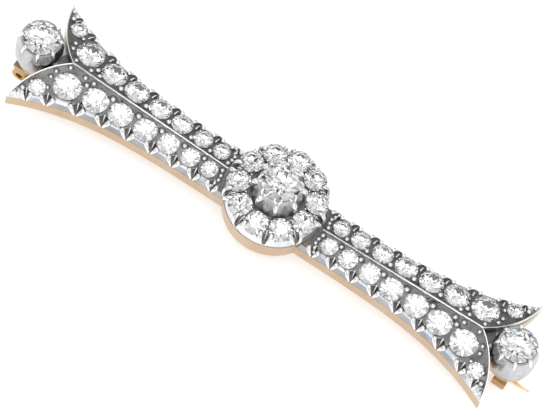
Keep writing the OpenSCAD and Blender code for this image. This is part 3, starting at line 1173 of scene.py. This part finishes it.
def prongs_round(count, rim, foot, centre, size):
    """Claws that come over a stone's edge and run down the outside of its cup."""
    down = foot - rim
    out = Vector((-down.z, 0, down.x)).normalized()
    prong = rib_matrix(rim + prong_shift, rim + down * prong_to, out, size, size)
    turns = [Matrix.Rotation(2 * pi * (i + 0.5) / count, 4, "Z") for i in range(count)]
    return [copy_at(rib, centre @ turn @ prong) for turn in turns]


# %% Dress the collet
pad_size = 0.3 * mm
dish_size = 0.52 * mm
collet_rim = Vector((collet_rim_r, 0, collet_rim_z))
collet_foot = Vector((collet_foot_r, 0, collet_foot_z))
pads, flutes = flute(pad_count, collet_rim, collet_foot, pad_size, dish_size)
carve(collet, flutes)
print(collet.name, "has", pad_count, "pads and", 2 * pad_count, "claws")
finish_piece(collet, "brooch", "silver", "middle_collet")
finish_piece(join(pads, "collet_claws"), "brooch", "silver")

# %% [markdown]
# The end stones sit in rounded cups, which a jeweller raises from sheet over a stake. The
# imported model's own cups are kept, because the gold's arms and the hook are fitted round
# them, and claws are laid on: each a grain over the stone's edge that tapers down the side.

# %% End cups
prong_count = 8
prong_size = 0.2 * mm
cup_wall = 0.26 * mm
cup_bulge = 0.14 * mm
cup_side = 1.75 * mm
arm_reach = end_x - end_r - 0.05 * mm
cup_rim = Vector((end_stone / 2 + cup_wall, 0, end_rim_z))
cup_foot = Vector((end_r + cup_bulge, 0, end_rim_z - cup_side))
for end, sign_x in both_ends:
    cup = merged_copy(f"end_collet_{end}", f"cup_{end}", cup_silver)
    # Painted shadow: the cup's side toward the bar, by the gold's arm and the gap to the leaf, is black
    paint(cup, blackened_and_shaded_silver, lambda f: abs(f.calc_center_median().x) < arm_reach)
    middle_of_cup = Matrix.Translation((sign_x * end_x, 0, 0))
    prongs = prongs_round(prong_count, cup_rim, cup_foot, middle_of_cup, prong_size)
    finish_piece(cup, "brooch", "silver", f"end_collet_{end}")
    finish_piece(join(prongs, f"cup_claws_{end}"), "brooch", "silver")
    print(cup.name, "has", prong_count, "claws")
set_aside(drum_rib)
set_aside(rib)
set_aside(scoop)
set_aside(grain)

# %% [markdown]
# The gold back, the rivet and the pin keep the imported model's own shapes, which are plain on
# the real thing too. They only get their metals: the back is a pale rose gold, and the pin
# a yellower, springier one.

# %% Gold
golds = {"gold_back": rose_gold, "hinge_rivet": yellow_gold, "pin": yellow_gold}
for node, finish in golds.items():
    refinish(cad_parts[node].data, finish)
    print(node, "is", finish.name)

# %% [markdown]
# The brooch lies on a white floor under soft light, as in a jeweller's photograph. Lit paper
# alone would show a grey shadow, so it glows a little too. The camera looks down from the
# front, 24 degrees off the face, and is rolled so that the bar runs down to the right.
# Facets and claws need something to mirror, so the room is patches of light and shade.

# %% Floor
deselect_all()
bpy.ops.mesh.primitive_plane_add(size=3, location=(0, 0, cad_box[0].z))
floor = new_piece("floor")
apply_place(floor)
paper = bpy.data.materials.new("paper")
paper.use_nodes = True
paper_shader = paper.node_tree.nodes["Principled BSDF"]
paper_shader.inputs["Roughness"].default_value = 0.9
paper_shader.inputs["Emission Color"].default_value = (1, 1, 1, 1)
paper_shader.inputs["Emission Strength"].default_value = 0.45
paper_grain = add(paper.node_tree, "ShaderNodeTexNoise", Scale=900.0, Detail=4.0)
paper_tone = add(paper.node_tree, "ShaderNodeMapRange", To_Min=0.93, To_Max=0.97)
paper.node_tree.links.new(paper_grain.outputs["Fac"], paper_tone.inputs["Value"])
paper.node_tree.links.new(paper_tone.outputs[0], paper_shader.inputs["Base Color"])
floor.data.materials.append(paper)
print(f"floor at {cad_box[0].z / mm:.2f} mm")

# %% Camera
camera_data = bpy.data.cameras.new("camera")
camera = put("camera", camera_data)
photo_width = 550
focal_pixels = 4273
camera_data.sensor_width = 36
camera_data.lens = camera_data.sensor_width * focal_pixels / photo_width
camera_data.clip_start = 0.01
camera_data.clip_end = 10
# The directions of the picture in the brooch's frame: to the right, up, and out to the lens
picture_right = Vector((0.83596, 0.53081, 0.13936))
picture_up = Vector((-0.53994, 0.75006, 0.38195))
toward_lens = picture_right.cross(picture_up)
turned = Matrix((picture_right, picture_up, toward_lens)).transposed().to_4x4()
lens_place = Vector((41.21, -164.70, 382.19)) * mm
camera.matrix_world = Matrix.Translation(lens_place) @ turned
bpy.context.scene.camera = camera
print("camera looks along", camera.matrix_world.to_3x3() @ Vector((0, 0, -1)))


# %% Lights
def soft_light(name, place, size, power):
    lamp = bpy.data.lights.new(name, "AREA")
    lamp.shape = "DISK"
    lamp.size = size
    lamp.energy = power
    holder = put(name, lamp)
    holder.location = place
    holder.rotation_euler = (-Vector(place)).to_track_quat("-Z", "Y").to_euler()


soft_light("overhead", (0.05, -0.1, 0.7), 0.5, 0.85)
soft_light("back_left", (-0.55, 0.35, 0.5), 0.35, 0.45)
soft_light("front_right", (0.55, -0.55, 0.25), 0.5, 0.5)

# %% Room
world = bpy.data.worlds.new("studio")
bpy.context.scene.world = world
world.use_nodes = True
room = world.node_tree
direction = add(room, "ShaderNodeTexCoord")
patches = add(room, "ShaderNodeTexNoise", Scale=4.5, Detail=1.5)
brightness = add(room, "ShaderNodeMapRange", From_Min=0.4, From_Max=0.6, To_Min=0.35, To_Max=1.1)
room.links.new(direction.outputs["Generated"], patches.inputs["Vector"])
room.links.new(patches.outputs["Fac"], brightness.inputs["Value"])
# What the lens sees straight behind the brooch stays plain; the patches only light it
seen = add(room, "ShaderNodeLightPath")
plain = add(room, "ShaderNodeMix", data_type="FLOAT", B=1.0)
room.links.new(seen.outputs["Is Camera Ray"], plain.inputs["Factor"])
room.links.new(brightness.outputs[0], plain.inputs["A"])
room.links.new(plain.outputs["Result"], room.nodes["Background"].inputs["Strength"])
room.nodes["Background"].inputs["Color"].default_value = (1, 1, 1, 1)
bpy.context.scene.view_settings.view_transform = "Standard"
